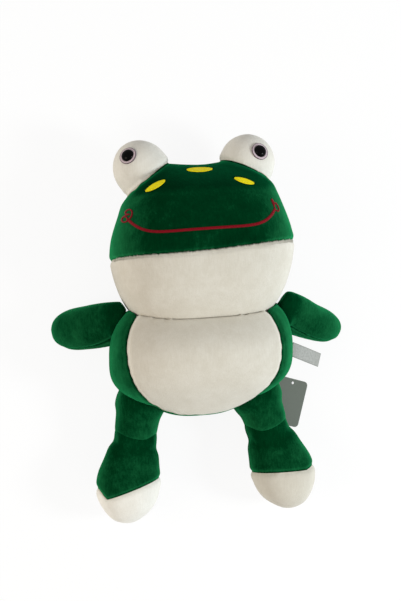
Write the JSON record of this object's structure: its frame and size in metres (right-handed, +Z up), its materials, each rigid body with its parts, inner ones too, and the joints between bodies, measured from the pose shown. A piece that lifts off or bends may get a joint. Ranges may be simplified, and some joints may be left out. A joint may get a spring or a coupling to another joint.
{
  "type": "plush frog",
  "caption": "Stuffed velour frog lying on its back, with jointed head, arms and legs, safety eyes, embroidered smile and spots, a blank ribbon label and a blank card tag.",
  "frame": {"origin": "centre of the bounding box, on the floor under the frog", "axes": "+X to the frog's left, +Y towards the top of its head, +Z up out of its face and belly as it lies on its back"},
  "size_m": [0.3536, 0.4422, 0.1512],
  "materials": {
    "green_velour": "short velour pile",
    "cream_velour": "short velour pile",
    "stuffing": "loose polyester fibre",
    "red_embroidery": "satin stitch",
    "yellow_embroidery": "satin stitch",
    "black_eye": "polished",
    "pale_ring": "satin",
    "washer": "moulded",
    "grey_ribbon": "woven satin ribbon",
    "grey_card": "uncoated card"
  },
  "bodies": {
    "torso": {"torso_back_panel": "green_velour", "belly_panel": "cream_velour", "side_panel_right": "green_velour", "side_panel_left": "green_velour", "torso_filling": "stuffing"},
    "head": {"head_back_panel": "green_velour", "crown_panel": "green_velour", "jaw_panel": "cream_velour", "head_filling": "stuffing", "mouth_line": "red_embroidery", "brow_spot_right": "yellow_embroidery", "brow_spot_centre": "yellow_embroidery", "brow_spot_left": "yellow_embroidery", "eye_dome_right": "cream_velour", "dome_filling_right": "stuffing", "eye_ring_right": "pale_ring", "eye_pupil_right": "black_eye", "eye_washer_right": "washer", "eye_dome_left": "cream_velour", "dome_filling_left": "stuffing", "eye_ring_left": "pale_ring", "eye_pupil_left": "black_eye", "eye_washer_left": "washer"},
    "arm_right": {"arm_front_right": "green_velour", "arm_back_right": "green_velour", "arm_filling_right": "stuffing"},
    "thigh_right": {"thigh_front_right": "green_velour", "thigh_back_right": "green_velour", "thigh_filling_right": "stuffing"},
    "shin_right": {"shin_front_right": "green_velour", "shin_back_right": "green_velour", "toe_cap_right": "cream_velour", "shin_filling_right": "stuffing"},
    "arm_left": {"arm_front_left": "green_velour", "arm_back_left": "green_velour", "arm_filling_left": "stuffing"},
    "thigh_left": {"thigh_front_left": "green_velour", "thigh_back_left": "green_velour", "thigh_filling_left": "stuffing"},
    "shin_left": {"shin_front_left": "green_velour", "shin_back_left": "green_velour", "toe_cap_left": "cream_velour", "shin_filling_left": "stuffing"},
    "label": {"sewn_label": "grey_ribbon"},
    "hang_tag": {"tag_card": "grey_card"}
  },
  "joints": [
    {"name": "neck_nod", "type": "hinge", "parent": "torso", "child": "head", "pos_m": [-0.00257, 0.06839, 0.0635], "axis": [1, 0, 0], "range_deg": [-10, 12], "stiffness_Nm_per_rad": 1.2},
    {"name": "shoulder_right", "type": "hinge", "parent": "torso", "child": "arm_right", "pos_m": [-0.09996, 0.00915, 0.0615], "axis": [0.51, 0.8602, 0], "range_deg": [-20, 45], "stiffness_Nm_per_rad": 0.12},
    {"name": "hip_right", "type": "hinge", "parent": "torso", "child": "thigh_right", "pos_m": [-0.0741, -0.08017, 0.035], "axis": [-0.8711, 0.4911, 0], "range_deg": [-6, 40], "stiffness_Nm_per_rad": 0.4},
    {"name": "knee_right", "type": "hinge", "parent": "thigh_right", "child": "shin_right", "pos_m": [-0.08633, -0.12452, 0.035], "axis": [-0.997, 0.0769, 0], "range_deg": [-20, 35], "stiffness_Nm_per_rad": 0.2},
    {"name": "shoulder_left", "type": "hinge", "parent": "torso", "child": "arm_left", "pos_m": [0.09222, 0.00915, 0.0615], "axis": [0.4263, -0.9046, 0], "range_deg": [-20, 45], "stiffness_Nm_per_rad": 0.12},
    {"name": "hip_left", "type": "hinge", "parent": "torso", "child": "thigh_left", "pos_m": [0.0555, -0.08017, 0.035], "axis": [-0.8845, -0.4666, 0], "range_deg": [0, 40], "stiffness_Nm_per_rad": 0.4},
    {"name": "knee_left", "type": "hinge", "parent": "thigh_left", "child": "shin_left", "pos_m": [0.07034, -0.12371, 0.035], "axis": [-0.952, -0.306, 0], "range_deg": [-20, 35], "stiffness_Nm_per_rad": 0.2},
    {"name": "label_seam", "type": "hinge", "parent": "torso", "child": "label", "pos_m": [0.09963, -0.03075, 0.0615], "axis": [-0.0708, -0.9975, 0], "range_deg": [-30, 30], "stiffness_Nm_per_rad": 0.01},
    {"name": "tag_hole", "type": "hinge", "parent": "torso", "child": "hang_tag", "pos_m": [0.11113, -0.07277, 0.00609], "axis": [0, 0, 1], "range_deg": [0, 25]}
  ]
}
